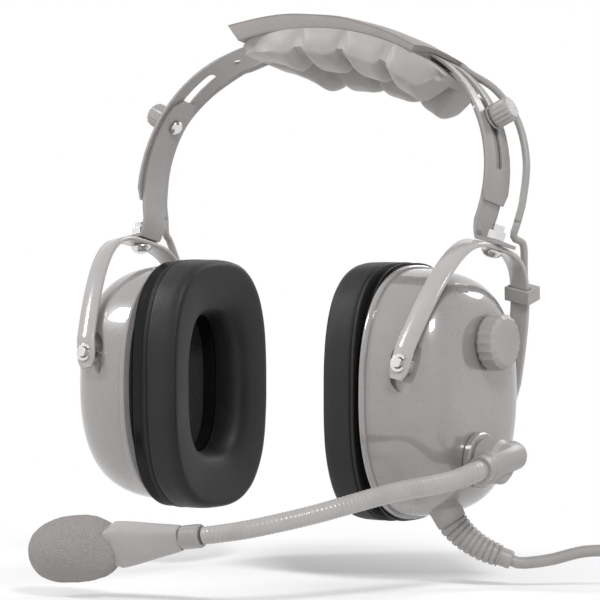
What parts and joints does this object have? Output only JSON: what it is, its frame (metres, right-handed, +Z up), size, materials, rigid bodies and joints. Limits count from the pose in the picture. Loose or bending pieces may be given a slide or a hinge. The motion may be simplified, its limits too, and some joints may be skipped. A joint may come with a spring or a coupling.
{
  "type": "aviation headset",
  "caption": "Aviation headset: sprung band with head pad, sliding arms, tilting ear cups with soft seals, boom microphone and a coiled cord with jack plugs.",
  "frame": {"origin": "midway between the two ear seals, at the level of the ears", "axes": "+X towards the wearer's left ear, the wearer faces -Y, +Z up"},
  "size_m": [0.4026, 0.1927, 0.2333],
  "materials": {
    "greige_gloss": "glossy moulded shell",
    "greige_satin": "satin",
    "band_steel": "satin paint on spring steel",
    "arm_steel": "gloss paint",
    "dark_leather": "matte leatherette",
    "skirt_gloss": "glossy black",
    "pad_leather": "soft leatherette",
    "bright_steel": "bright plated steel",
    "grey_foam": "open-cell foam",
    "dark_foam": "open-cell foam",
    "grey_rubber": "satin rubber",
    "plug_metal": "nickel plated"
  },
  "bodies": {
    "headband": {"headband_spring": "band_steel", "head_pad": "pad_leather", "pad_sleeve": "pad_leather", "left_crossover_lead": "grey_rubber", "right_crossover_lead": "grey_rubber"},
    "left_arm": {"left_slider_arm": "arm_steel", "left_adjust_screw": "bright_steel", "left_adjust_washer": "greige_satin", "left_swivel_bolt": "bright_steel", "left_swivel_nut": "bright_steel", "left_crossover_loop": "grey_rubber"},
    "left_thumb": {"left_thumb_nut": "greige_satin"},
    "left_fork": {"left_stirrup": "arm_steel", "left_cable_clip": "greige_satin"},
    "left_cup": {"left_ear_cup": "greige_gloss", "boom_base": "greige_gloss", "left_seal_plate": "skirt_gloss", "left_seal_cushion": "dark_leather", "left_driver": "greige_satin", "left_baffle_foam": "dark_foam", "left_volume_pot": "bright_steel", "left_front_pin": "bright_steel", "left_rear_pin": "bright_steel", "left_front_clip": "bright_steel", "left_rear_clip": "bright_steel", "cord_boot": "grey_rubber", "cord_lead": "grey_rubber", "cord_coil": "grey_rubber", "cord_tie": "greige_satin", "cord_splitter": "grey_rubber", "headphone_tail": "grey_rubber", "mic_tail": "grey_rubber", "headphone_plug": "plug_metal", "mic_plug": "plug_metal"},
    "left_knob": {"left_volume_knob": "greige_satin"},
    "right_arm": {"right_slider_arm": "arm_steel", "right_adjust_screw": "bright_steel", "right_adjust_washer": "greige_satin", "right_swivel_bolt": "bright_steel", "right_swivel_nut": "bright_steel", "right_crossover_loop": "grey_rubber"},
    "right_thumb": {"right_thumb_nut": "greige_satin"},
    "right_fork": {"right_stirrup": "arm_steel", "right_cable_clip": "greige_satin"},
    "right_cup": {"right_ear_cup": "greige_gloss", "right_seal_plate": "skirt_gloss", "right_seal_cushion": "dark_leather", "right_driver": "greige_satin", "right_baffle_foam": "dark_foam", "right_volume_pot": "bright_steel", "right_front_pin": "bright_steel", "right_rear_pin": "bright_steel", "right_front_clip": "bright_steel", "right_rear_clip": "bright_steel"},
    "right_knob": {"right_volume_knob": "greige_satin"},
    "boom": {"boom_hub": "greige_satin", "boom_tube": "greige_satin", "boom_ferrule": "greige_gloss", "mic_housing": "greige_satin", "mic_muff": "grey_foam"}
  },
  "joints": [
    {"name": "left_arm_slide", "type": "hinge", "parent": "headband", "child": "left_arm", "pos_m": [0.03009, 0.01761, 0.08283], "axis": [0, 0.9781, -0.2079], "range_deg": [-7, 7], "deforming": ["left_crossover_lead"]},
    {"name": "left_thumb_turn", "type": "hinge", "parent": "left_arm", "child": "left_thumb", "pos_m": [0.08153, 0.02317, 0.10902], "axis": [0.887, 0.096, 0.4517], "continuous": true},
    {"name": "left_fork_swivel", "type": "hinge", "parent": "left_arm", "child": "left_fork", "pos_m": [0.079, 0.00073, 0.00342], "axis": [0.1908, 0.2041, 0.9602], "range_deg": [-15, 15], "deforming": ["left_crossover_loop"]},
    {"name": "left_cup_tilt", "type": "hinge", "parent": "left_fork", "child": "left_cup", "pos_m": [0.079, 0.00073, 0.00342], "axis": [0, 0.9781, -0.2079], "range_deg": [-12, 12]},
    {"name": "left_volume_turn", "type": "hinge", "parent": "left_cup", "child": "left_knob", "pos_m": [0.0925, 0.005, 0.0193], "axis": [1, 0, 0], "range_deg": [-140, 140]},
    {"name": "right_arm_slide", "type": "hinge", "parent": "headband", "child": "right_arm", "pos_m": [-0.03009, 0.01761, 0.08283], "axis": [0, -0.9781, 0.2079], "range_deg": [-7, 7], "deforming": ["right_crossover_lead"]},
    {"name": "right_thumb_turn", "type": "hinge", "parent": "right_arm", "child": "right_thumb", "pos_m": [-0.08153, 0.02317, 0.10902], "axis": [-0.887, 0.096, 0.4517], "continuous": true},
    {"name": "right_fork_swivel", "type": "hinge", "parent": "right_arm", "child": "right_fork", "pos_m": [-0.079, 0.00073, 0.00342], "axis": [-0.1908, 0.2041, 0.9602], "range_deg": [-15, 15], "deforming": ["right_crossover_loop"]},
    {"name": "right_cup_tilt", "type": "hinge", "parent": "right_fork", "child": "right_cup", "pos_m": [-0.079, 0.00073, 0.00342], "axis": [0, -0.9781, 0.2079], "range_deg": [-12, 12]},
    {"name": "right_volume_turn", "type": "hinge", "parent": "right_cup", "child": "right_knob", "pos_m": [-0.0925, 0.005, 0.0193], "axis": [-1, 0, 0], "range_deg": [-140, 140]},
    {"name": "boom_swing", "type": "hinge", "parent": "left_cup", "child": "boom", "pos_m": [0.0925, -0.004, -0.028], "axis": [1, 0, 0], "range_deg": [-45, 20]}
  ]
}
